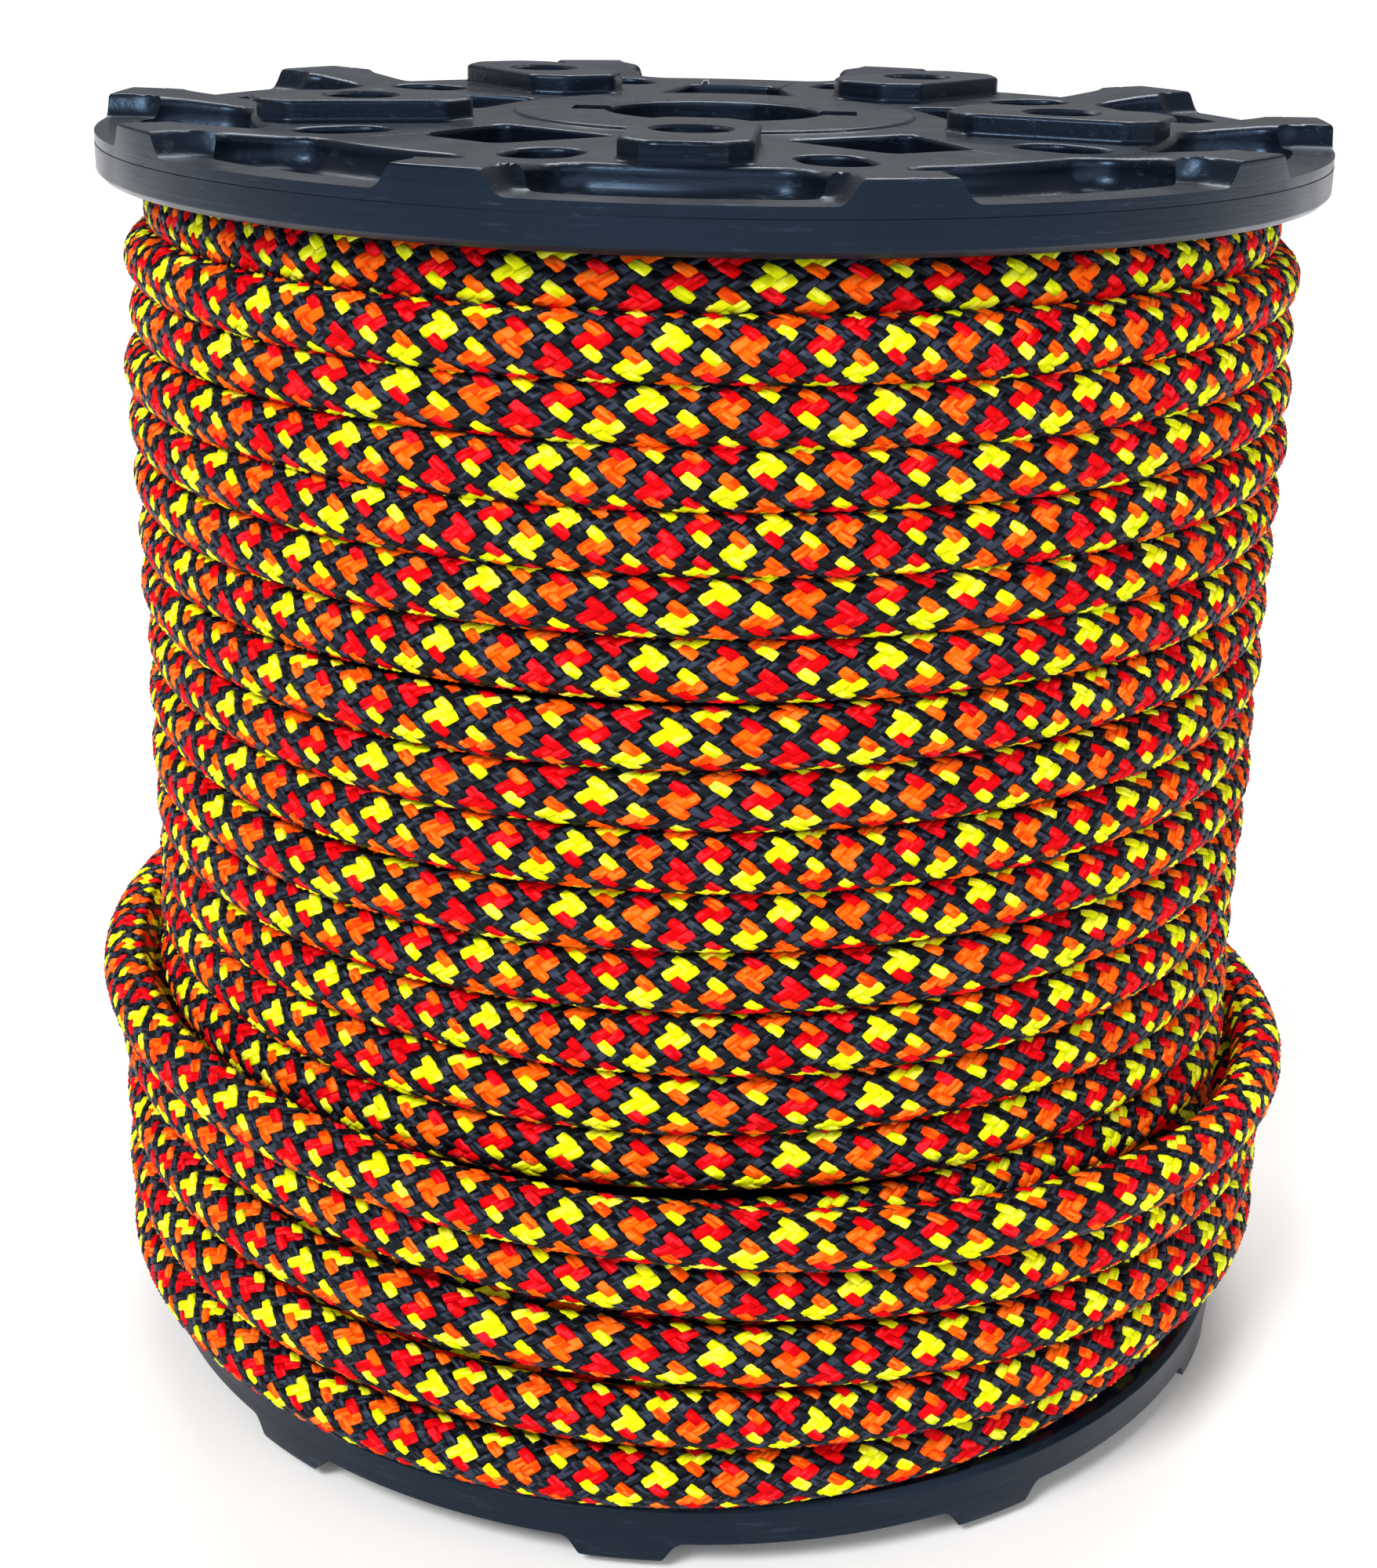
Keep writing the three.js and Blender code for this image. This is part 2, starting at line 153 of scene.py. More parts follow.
def stack(levels):
    """Vertices and faces of a closed solid through a stack of outlines of (x, y, z)."""
    count = len(levels[0])
    vertices = [p for level in levels for p in level]
    faces = []
    for k in range(len(levels) - 1):
        low, high = k * count, (k + 1) * count
        for i in range(count):
            j = (i + 1) % count
            faces.append((low + i, low + j, high + j, high + i))
    faces.append(tuple(reversed(range(count))))
    faces.append(tuple(range((len(levels) - 1) * count, len(levels) * count)))
    return vertices, faces


def joined(parts):
    """Several (vertices, faces) as one."""
    vertices, faces = [], []
    for more_vertices, more_faces in parts:
        base = len(vertices)
        vertices += more_vertices
        faces += [tuple(base + i for i in f) for f in more_faces]
    return vertices, faces


def combined(body, parts, operation):
    """body with some (vertices, faces) joined to it or cut from it."""
    tool = mesh_object("tool", *joined(parts))
    cut = body.modifiers.new("cut", "BOOLEAN")
    cut.operation = operation
    cut.solver = "MANIFOLD"
    cut.object = tool
    applied(body)
    bpy.data.objects.remove(tool)
    return body


def shade(made, angle=32):
    """Smooth shading up to an angle, with the broad faces kept flat."""
    made.data.shade_smooth()
    made.data.set_sharp_from_angle(angle=math.radians(angle))
    weighted = made.modifiers.new("weighted", "WEIGHTED_NORMAL")
    weighted.keep_sharp = True
    return applied(made)


def rounded_rectangle(width, height, cy, corner, steps=8, divisions=1):
    """Points (x, y) round a rectangle centred on (0, cy), counter-clockwise."""
    points = []
    half_side = width / 2 - corner
    for quadrant, (sx, sy) in enumerate(((1, 1), (-1, 1), (-1, -1), (1, -1))):
        for i in range(steps + 1):
            a = math.pi / 2 * (quadrant + i / steps)
            x = sx * half_side + corner * math.cos(a)
            y = cy + sy * (height / 2 - corner) + corner * math.sin(a)
            points.append((x, y))
        if quadrant % 2 == 0:
            for i in range(1, divisions):
                points.append((sx * half_side * (1 - 2 * i / divisions), cy + sy * height / 2))
    return points


def placed(outline, azimuth, bend_radius=None):
    """An outline drawn straight ahead of the axis, y being the radius, turned to an azimuth.
    It comes out counter-clockwise seen from above."""
    points = []
    for x, radius in reversed(outline):
        if bend_radius is None:
            px, py, _ = polar(radius, azimuth)
            a = math.radians(azimuth)
            points.append((px + x * math.cos(a), py + x * math.sin(a)))
        else:
            points.append(polar(radius, azimuth + math.degrees(x / bend_radius))[:2])
    return points


def top_level(x, y):
    """The height of the flange's plain top: level inside, rising towards the tabs."""
    radius = math.hypot(x, y)
    t = (radius - DISH_RADIUS) / (LEDGE_INNER_RADIUS - DISH_RADIUS)
    return PLATEAU_LEVEL + (TAB_LEVEL - PLATEAU_LEVEL) * min(max(t, 0), 1)


# ---- Materials ----
def new_material(name):
    material = bpy.data.materials.new(name)
    material.use_nodes = True
    shader = material.node_tree.nodes["Principled BSDF"]
    return material, material.node_tree, shader


def set_constants(shader, **values):
    for name, value in values.items():
        shader.inputs[name.replace("_", " ")].default_value = value


def cylinder_coordinates(tree, radius):
    """Position as (arc length at a radius, height, radius), for marks that run round the axis."""
    place = tree.nodes.new("ShaderNodeNewGeometry")
    split = tree.nodes.new("ShaderNodeSeparateXYZ")
    angle = tree.nodes.new("ShaderNodeMath")
    angle.operation = "ARCTAN2"
    arc = tree.nodes.new("ShaderNodeMath")
    arc.operation = "MULTIPLY"
    arc.inputs[1].default_value = radius
    flat = tree.nodes.new("ShaderNodeCombineXYZ")
    length = tree.nodes.new("ShaderNodeVectorMath")
    length.operation = "LENGTH"
    out = tree.nodes.new("ShaderNodeCombineXYZ")
    link = tree.links.new
    link(place.outputs["Position"], split.inputs[0])
    link(split.outputs["X"], angle.inputs[0])
    link(split.outputs["Y"], angle.inputs[1])
    link(angle.outputs[0], arc.inputs[0])
    link(split.outputs["X"], flat.inputs["X"])
    link(split.outputs["Y"], flat.inputs["Y"])
    link(flat.outputs[0], length.inputs[0])
    link(arc.outputs[0], out.inputs["X"])
    link(split.outputs["Z"], out.inputs["Y"])
    link(length.outputs["Value"], out.inputs["Z"])
    return out.outputs[0]


def noise(tree, coordinates, scale, stretch=(1, 1, 1), detail=3.0, roughness=0.55):
    mapping = tree.nodes.new("ShaderNodeMapping")
    mapping.inputs["Scale"].default_value = stretch
    texture = tree.nodes.new("ShaderNodeTexNoise")
    texture.inputs["Scale"].default_value = scale
    texture.inputs["Detail"].default_value = detail
    texture.inputs["Roughness"].default_value = roughness
    tree.links.new(coordinates, mapping.inputs["Vector"])
    tree.links.new(mapping.outputs[0], texture.inputs["Vector"])
    return texture.outputs["Fac"]


def ranged(tree, value, low, high, from_low=0.0, from_high=1.0):
    node = tree.nodes.new("ShaderNodeMapRange")
    node.inputs["From Min"].default_value = from_low
    node.inputs["From Max"].default_value = from_high
    node.inputs["To Min"].default_value = low
    node.inputs["To Max"].default_value = high
    tree.links.new(value, node.inputs["Value"])
    return node.outputs[0]


def added(tree, a, b):
    node = tree.nodes.new("ShaderNodeMath")
    tree.links.new(a, node.inputs[0])
    tree.links.new(b, node.inputs[1])
    return node.outputs[0]


def bumped(tree, shader, height, distance):
    bump = tree.nodes.new("ShaderNodeBump")
    bump.inputs["Distance"].default_value = distance
    tree.links.new(height, bump.inputs["Height"])
    tree.links.new(bump.outputs[0], shader.inputs["Normal"])


def two_colours(tree, shader, value, first, second):
    mix = tree.nodes.new("ShaderNodeMix")
    mix.data_type = "RGBA"
    mix.inputs["A"].default_value = (*first, 1)
    mix.inputs["B"].default_value = (*second, 1)
    tree.links.new(value, mix.inputs["Factor"])
    tree.links.new(mix.outputs["Result"], shader.inputs["Base Color"])


def reel_plastic():
    """Black moulded plastic with a soft gloss: cloudy sheen, turning lines and light scuffs."""
    material, tree, shader = new_material("reel_plastic")
    around = cylinder_coordinates(tree, FLANGE_RADIUS * MM)
    clouds = noise(tree, around, scale=60, detail=4)
    turning = noise(tree, around, scale=900, stretch=(0.02, 1, 1), detail=2)
    scuffs = noise(tree, around, scale=500, stretch=(0.15, 1, 0.6), detail=5, roughness=0.75)
    marks = ranged(tree, scuffs, 0, 1, 0.58, 0.74)
    two_colours(tree, shader, marks, (0.0028, 0.0046, 0.0100), (0.018, 0.025, 0.040))
    rough = added(tree, ranged(tree, clouds, 0.24, 0.38, 0.3, 0.7), ranged(tree, marks, 0, 0.12))
    tree.links.new(rough, shader.inputs["Roughness"])
    relief = added(tree, ranged(tree, turning, 0, 1), ranged(tree, marks, 0, -0.8))
    bumped(tree, shader, relief, distance=0.00006)
    set_constants(shader, Specular_IOR_Level=0.34, Specular_Tint=(0.42, 0.66, 1, 1))
    return material


def barrel_plastic():
    material, tree, shader = new_material("barrel_plastic")
    around = cylinder_coordinates(tree, BARREL_OUTER * MM)
    clouds = noise(tree, around, scale=120, detail=4)
    two_colours(tree, shader, clouds, (0.008, 0.008, 0.009), (0.02, 0.02, 0.022))
    tree.links.new(ranged(tree, clouds, 0.5, 0.7), shader.inputs["Roughness"])
    bumped(tree, shader, noise(tree, around, scale=1500), distance=0.00008)
    return material


def zinc_steel():
    """Bright zinc plating, a little cloudy, with a faint straw tint in places."""
    material, tree, shader = new_material("zinc_steel")
    place = tree.nodes.new("ShaderNodeNewGeometry").outputs["Position"]
    clouds = noise(tree, place, scale=260, detail=5)
    tint = ranged(tree, clouds, 0, 1, 0.35, 0.65)
    two_colours(tree, shader, tint, (0.5, 0.51, 0.53), (0.6, 0.585, 0.54))
    tree.links.new(ranged(tree, clouds, 0.24, 0.42), shader.inputs["Roughness"])
    bumped(tree, shader, noise(tree, place, scale=2500), distance=0.00003)
    set_constants(shader, Metallic=1.0)
    return material


def shrink_sleeve():
    """Black heat-shrink tube, satin, with faint lengthwise lines."""
    material, tree, shader = new_material("shrink_sleeve")
    place = tree.nodes.new("ShaderNodeNewGeometry").outputs["Position"]
    clouds = noise(tree, place, scale=300, detail=4)
    two_colours(tree, shader, clouds, (0.009, 0.009, 0.01), (0.022, 0.022, 0.024))
    tree.links.new(ranged(tree, clouds, 0.32, 0.5), shader.inputs["Roughness"])
    bumped(tree, shader, noise(tree, place, scale=900, stretch=(1, 1, 3)), distance=0.0001)
    return material


def pale_floor():
    material, tree, shader = new_material("pale_floor")
    place = tree.nodes.new("ShaderNodeNewGeometry").outputs["Position"]
    clouds = noise(tree, place, scale=3, detail=2)
    two_colours(tree, shader, clouds, (0.9, 0.9, 0.9), (0.92, 0.92, 0.92))
    set_constants(shader, Roughness=0.85)
    return material


# Yarn colours: plain, with painted shade, and with a painted highlight, as light catches the
# filaments.
YARNS = {
    "black": ((0.004, 0.005, 0.0075), (0.002, 0.0022, 0.003), (0.026, 0.032, 0.052)),
    "yellow": ((0.82, 0.87, 0.008), (0.66, 0.73, 0.003), (0.92, 0.95, 0.07)),
    "orange": ((0.95, 0.12, 0.003), (0.80, 0.055, 0.002), (0.98, 0.18, 0.02)),
    "red": ((0.72, 0.002, 0.005), (0.54, 0.001, 0.004), (0.86, 0.014, 0.024)),
    "core": ((0.80, 0.79, 0.75),),
}


def yarn_materials():
    """One plain material for each shade of yarn: its own colour, a painted shade and a painted
    highlight. The weave itself is modelled.
    """
    made, first = [], {}
    for name, shades in YARNS.items():
        first[name] = len(made)
        for i, colour in enumerate(shades):
            material, _, shader = new_material(f"yarn_{name}_{i + 1}")
            dark = name == "black"
            set_constants(
                shader,
                Base_Color=(*colour, 1),
                Roughness=0.4 if dark else 0.5,
                Specular_IOR_Level=0.17 if dark else 0.03,
                Specular_Tint=(0.62, 0.75, 1, 1) if dark else (1, 1, 1, 1),
            )
            made.append(material)
    return made, first


# ---- Camera, light and floor ----
def make_camera():
    data = bpy.data.cameras.new("camera")
    data.sensor_fit = "HORIZONTAL"
    data.sensor_width = CAMERA_SENSOR
    data.lens = CAMERA_LENS
    data.clip_start = 0.01
    data.clip_end = 50
    made = linked("camera", data)
    yaw, pitch, roll = (math.radians(a) for a in (CAMERA_YAW, CAMERA_PITCH, CAMERA_ROLL))
    forward = Vector(
        (math.sin(yaw) * math.cos(pitch), math.cos(yaw) * math.cos(pitch), -math.sin(pitch))
    )
    right = Vector((math.cos(yaw), -math.sin(yaw), 0))
    up = right.cross(forward)
    tilted_right = math.cos(roll) * right + math.sin(roll) * up
    tilted_up = -math.sin(roll) * right + math.cos(roll) * up
    turn = Matrix((tilted_right, tilted_up, -forward)).transposed().to_4x4()
    made.matrix_world = Matrix.Translation(Vector(CAMERA_PLACE) * MM) @ turn
    bpy.context.scene.camera = made


def sun(name, azimuth, elevation, strength, width):
    """A soft light from far away, from an azimuth and a height in degrees."""
    data = bpy.data.lights.new(name, "SUN")
    data.energy = strength
    data.angle = math.radians(width)
    made = linked(name, data)
    high = math.radians(elevation)
    from_light = -Vector(polar(math.cos(high), azimuth, math.sin(high)))
    made.rotation_euler = from_light.to_track_quat("-Z", "Y").to_euler()


def softbox(name, place, size, power):
    """A rectangle of light that faces the reel's middle, in metres and watts."""
    data = bpy.data.lights.new(name, "AREA")
    data.shape = "RECTANGLE"
    data.size, data.size_y = size
    data.energy = power
    made = linked(name, data)
    made.location = place
    to_reel = Vector((0, 0, TRAVERSE * MM / 2)) - Vector(place)
    made.rotation_euler = to_reel.to_track_quat("-Z", "Y").to_euler()


def make_light():
    world = bpy.data.worlds.new("studio")
    world.use_nodes = True
    background = world.node_tree.nodes["Background"]
    background.inputs["Color"].default_value = (1, 1, 1, 1)
    background.inputs["Strength"].default_value = 0.24
    bpy.context.scene.world = world
    sun("key", azimuth=-32, elevation=48, strength=2.7, width=20)
    sun("fill", azimuth=45, elevation=30, strength=0.8, width=50)
    sun("front", azimuth=-5, elevation=14, strength=1.2, width=60)
    sun("top", azimuth=165, elevation=62, strength=0.8, width=24)
    softbox("back", place=(-0.1, 0.95, 1.25), size=(1.3, 0.3), power=14)
    bpy.context.scene.view_settings.view_transform = "Standard"


def make_floor():
    far = 60000
    vertices = [(-far, -far, 0), (far, -far, 0), (far, far, 0), (-far, far, 0)]
    floor = mesh_object("floor", vertices, [(0, 1, 2, 3)])
    floor.data.materials.append(pale_floor())


# ---- The rope's route ----
# The last turn from where it leaves the fourth layer, as (azimuth, height).
LAST_TURN = (
    (110, 47), (90, 47.8), (60, 50.8), (30, 55), (0, 59.8), (-30, 62.8), (-60, 64.3),
    (-90, 65), (-120, 65.6), (-150, 66.2), (-180, 66.8), (-210, 67.4), (-235, 68),
)
END_LENGTH = 31.5  # the straight end, inside its sleeve
TURNS = (20, 19, 19, 4)  # of each layer
EDGE_HEIGHT = 5.8  # of a full layer's first and last turns over the flange beside them
SECOND_LAYER_PITCH = 11.07
SUNK = 4.5  # how much nearer to the axis the third layer's top turn lies
UPPER_PITCH, LOWER_PITCH = 10.68, 12.1  # of the third layer, above and below its bend row
TOP_HEIGHT, GATHERED = 216, 3.6
BEND_ROW, BEND_HEIGHT = 14, 66.5
SPREAD = 2  # how much wider the lower pitch gets under the fourth layer
HIGHEST_AT = -62  # the azimuth where the fourth layer's slanting turns are highest
BOTTOM_ROW = (6.3, 1.2)  # of the fourth layer: its mean height, and how far it slants each way
TOP_ROW = (43.7, 8.2)
BOTTOM_ROW_RADIUS = 108.5  # where it starts
CLIMB = (55, -10)  # azimuths that it climbs between, out over the third layer


def climbed(azimuth):
    """How far the fourth layer's bottom row has climbed, from 0 to 1."""
    start, end = CLIMB
    return float(smooth((start - azimuth) / (start - end)))


def third_layer_height(row, azimuth):
    """Rows of the third layer from the top one, 0, down: a little closer near the top, and the
    lowest ones spread into the room that the fourth layer's bottom row leaves."""
    if row > BEND_ROW:
        return BEND_HEIGHT - (LOWER_PITCH + SPREAD * climbed(azimuth)) * (row - BEND_ROW)
    gathered = GATHERED * math.sin(math.pi * (row / BEND_ROW) ** 0.75)
    return TOP_HEIGHT - UPPER_PITCH * row + gathered


def slanting(mean, slant, azimuth):
    return mean + slant * math.cos(math.radians(azimuth - HIGHEST_AT))


def fourth_layer_place(row, azimuth):
    """Rows of the fourth layer from the bottom one, 0, up, as (radius, height)."""
    bottom, top = slanting(*BOTTOM_ROW, azimuth), slanting(*TOP_ROW, azimuth)
    height = bottom + (top - bottom) * row / (TURNS[3] - 1)
    if row > 0:
        return LAYER_RADII[3], height
    return BOTTOM_ROW_RADIUS + (LAYER_RADII[3] - BOTTOM_ROW_RADIUS) * climbed(azimuth), height


def last_turn_height(azimuth):
    points = LAST_TURN[::-1]
    return float(np.interp(azimuth, [a for a, _ in points], [h for _, h in points]))


def turn_places():
    """For each turn of the rope from its start on the barrel, a function from an azimuth, 180
    to -180, to (radius, height)."""
    places = []
    first = TRAVERSE - EDGE_HEIGHT
    pitch = (first - EDGE_HEIGHT) / (TURNS[0] - 1)
    for k in range(TURNS[0]):
        places.append(lambda a, h=first - pitch * k: (LAYER_RADII[0], h))
    for k in range(TURNS[1]):
        places.append(lambda a, h=EDGE_HEIGHT + SECOND_LAYER_PITCH * k: (LAYER_RADII[1], h))
    for k in range(TURNS[2]):
        radius = LAYER_RADII[2] - (SUNK if k == 0 else 0)
        places.append(lambda a, k=k, r=radius: (r, third_layer_height(k, a)))
    for k in range(TURNS[3]):
        places.append(lambda a, k=k: fourth_layer_place(k, a))
    places.append(lambda a: (LAST_TURN_RADIUS, last_turn_height(a)))
    return places


def wobble(count, size, waves):
    """A smooth random function of the turn angle, for each turn, that closes on itself."""
    phase = RANDOM.uniform(0, 2 * math.pi, (count, waves))
    weight = RANDOM.normal(0, size, (count, waves)) / np.arange(1, waves + 1) ** 0.5

    def at(turn, angle):
        k = np.arange(1, waves + 1)
        return float((weight[turn] * np.sin(k * math.radians(angle) + phase[turn])).sum())

    return at


def rope_route():
    """Points down the middle of the rope about 2 degrees apart, in millimetres, and the index of
    the first point that is in the third layer."""
    places = turn_places()
    count = len(places)
    rise, swell = wobble(count, size=0.26, waves=4), wobble(count, size=0.34, waves=5)
    points, third = [], None
    step = 2.0
    last_angle = 360 * (count - 1) + 180 - LAST_TURN[-1][0]
    for a in np.arange(0, last_angle + step / 2, step):
        turn = int((a + JOG_HALF_ANGLE) // 360)
        over = a - 360 * turn  # angle past the back, from -JOG_HALF_ANGLE
        azimuth = 180 - over
        blend = float(smooth((over + JOG_HALF_ANGLE) / (2 * JOG_HALF_ANGLE)))
        here = min(turn, count - 1)
        if turn >= count:
            azimuth -= 360
            blend = 1
        radius, height = places[here](azimuth)
        dz, dr = rise(here, a), swell(here, a)
        if blend < 1 and turn > 0:
            before_radius, before_height = places[turn - 1](azimuth - 360)
            radius = before_radius + (radius - before_radius) * blend
            height = before_height + (height - before_height) * blend
            dz = rise(turn - 1, a) + (dz - rise(turn - 1, a)) * blend
            dr = swell(turn - 1, a) + (dr - swell(turn - 1, a)) * blend
        free = 1 if here < count - 1 else 0.3  # the last turn runs smoothly
        points.append(polar(radius + dr * free, azimuth, LOWER_FACE_Z + height + dz * free))
        if third is None and turn >= TURNS[0] + TURNS[1]:
            third = len(points) - 1
    points = np.array(points)
    ahead = points[-1] - points[-2]
    ahead /= np.linalg.norm(ahead)
    straight = [points[-1] + ahead * d for d in np.linspace(0, END_LENGTH, 8)[1:]]
    return np.vstack([points, straight]), third


# ---- The rope ----
# The relief of a float: radii as shares of the rope's. A float's two yarns lie side by side.
VALLEY = 0.87  # where floats meet
ACROSS = (-0.08, 0.21, 0.5, 0.79, 1.08)  # columns of points across a float: it overhangs its cell
RELIEF_MIDDLE = (0.962, 1.014, 0.978, 1.014, 0.962)  # of those points half way along it
RELIEF_END = (0.938, 0.975, 0.948, 0.968, 0.92)  # from its blunt corner to its sharp one
ROUNDED_END = (0.0, 0.035, 0.075, 0.125, 0.18)  # how far short of its cell's end a float stops
SHADE_CHANCES = (0.45, 0.27, 0.28)  # of each shade in YARNS, for each facet of a float: plain, painted shade and painted highlight
LAY_DRIFT = ((5, 331), (1.8, 117))  # millimetres along the rope, over a number of crossings
TWIST_DRIFT = ((11, 2950), (5, 1130))  # degrees round it
DETAIL_LIMIT = 10  # floats within this many crossings of the outward side are modelled
UNEVEN = (0.008, 0.03, 0.012)  # of a float's size, lean and slip, as standard deviations
HIDDEN_RADIUS = 0.97 * ROPE_RADIUS  # of the plain rope in the two inner layers
CORE_RADIUS = 0.86 * ROPE_RADIUS  # of the core at the cut end


def sampled(points, at):
    """The route at some distances along it, with the direction that it runs in."""
    gaps = np.linalg.norm(np.diff(points, axis=0), axis=1)
    along = np.concatenate([[0], np.cumsum(gaps)])
    ahead = np.gradient(points, along, axis=0)
    line = np.stack([np.interp(at, along, points[:, k]) for k in range(3)], axis=1)
    tangent = np.stack([np.interp(at, along, ahead[:, k]) for k in range(3)], axis=1)
    return line, tangent


def sides(centre, tangent):
    """Unit vectors from the rope's middle away from the reel's axis, and down across it."""
    tangent = tangent / np.linalg.norm(tangent, axis=1)[:, None]
    down = np.tile((0.0, 0.0, -1.0), (len(centre), 1))
    down -= (down * tangent).sum(1)[:, None] * tangent
    down /= np.linalg.norm(down, axis=1)[:, None]
    out = np.cross(tangent, down)
    inward = (out[:, :2] * centre[:, :2]).sum(1) < 0
    out[inward] *= -1
    return out, down


def drifting(count, waves):
    """A slow wave along the rope's crossings, from (size, crossings in a period) pairs."""
    s = np.arange(count)
    phases = RANDOM.uniform(0, 2 * math.pi, len(waves))
    return sum(
        size * np.sin(2 * math.pi * s / period + phase)
        for (size, period), phase in zip(waves, phases)
    )


class Surface:
    """The rope's round surface, by column of crossings s and crossing t across it. t is 0 near
    the side away from the reel and grows downwards. The lay is a little uneven along the rope."""

    def __init__(self, points):
        length = np.linalg.norm(np.diff(points, axis=0), axis=1).sum()
        count = int(length / CROSSING_STEP)
        at = np.arange(count) * CROSSING_STEP + drifting(count, LAY_DRIFT)
        at = (at - at[0]) * length / (at[-1] - at[0])
        centre, tangent = sampled(points, at)
        self.centre, tangent = centre[::-1], tangent[::-1]
        self.out, self.down = sides(self.centre, tangent)
        self.twist = np.radians(drifting(count, TWIST_DRIFT))
        self.last = count - 1

    def at(self, s, t, radius):
        low = np.clip(np.floor(s).astype(int), 0, self.last - 1)
        part = s - low
        centre, out, down = (
            a[low] * (1 - part)[..., None] + a[low + 1] * part[..., None]
            for a in (self.centre, self.out, self.down)
        )
        twist = self.twist[low] * (1 - part) + self.twist[low + 1] * part
        angle = (t * 2 * math.pi / STRANDS + twist)[..., None]
        return centre + radius[..., None] * (np.cos(angle) * out + np.sin(angle) * down)


def corner_index(s, t):
    odd = (s + 1) % 2
    return s * (STRANDS // 2) + ((t + STRANDS // 2 - odd) // 2) % (STRANDS // 2)


def marker_colour(family, strand):
    """Whether a strand is a marker, and its colour's place in the order yellow, orange, red. The
    other strands are black."""
    if family == "A":
        return strand % 2 == 0, (strand // 2 + 1) % 3
    return strand % 4 < 2, (strand // 4) % 3


def float_corners(family, s, t):
    """The lattice points along the two long sides of a float."""
    if family == "A":
        return (
            [(s, t - 1), (s + 1, t), (s + 2, t + 1)],
            [(s - 1, t), (s, t + 1), (s + 1, t + 2)],
        )
    return (
        [(s - 1, t), (s, t - 1), (s + 1, t - 2)],
        [(s, t + 1), (s + 1, t), (s + 2, t - 1)],
    )


def float_neighbours(family, i, j):
    """The strands next to a float, as (family, strand): past its start and end, and past the
    first and second half of each long side."""
    if family == "A":
        ends = ("B", j - 1), ("B", j + 2)
        return ends, ((("B", j), ("A", i + 1)), (("A", i - 1), ("B", j + 1)))
    ends = ("A", i - 1), ("A", i + 2)
    return ends, ((("B", j - 1), ("A", i + 1)), (("A", i), ("B", j + 1)))


def place_in_float(family, s, t, p, q):
    """The place a share p along and a share q across a float, on the lattice."""
    if family == "A":
        return s + 2 * p - q, t - 1 + 2 * p + q
    return s - 1 + 2 * p + q, t - 2 * p + q


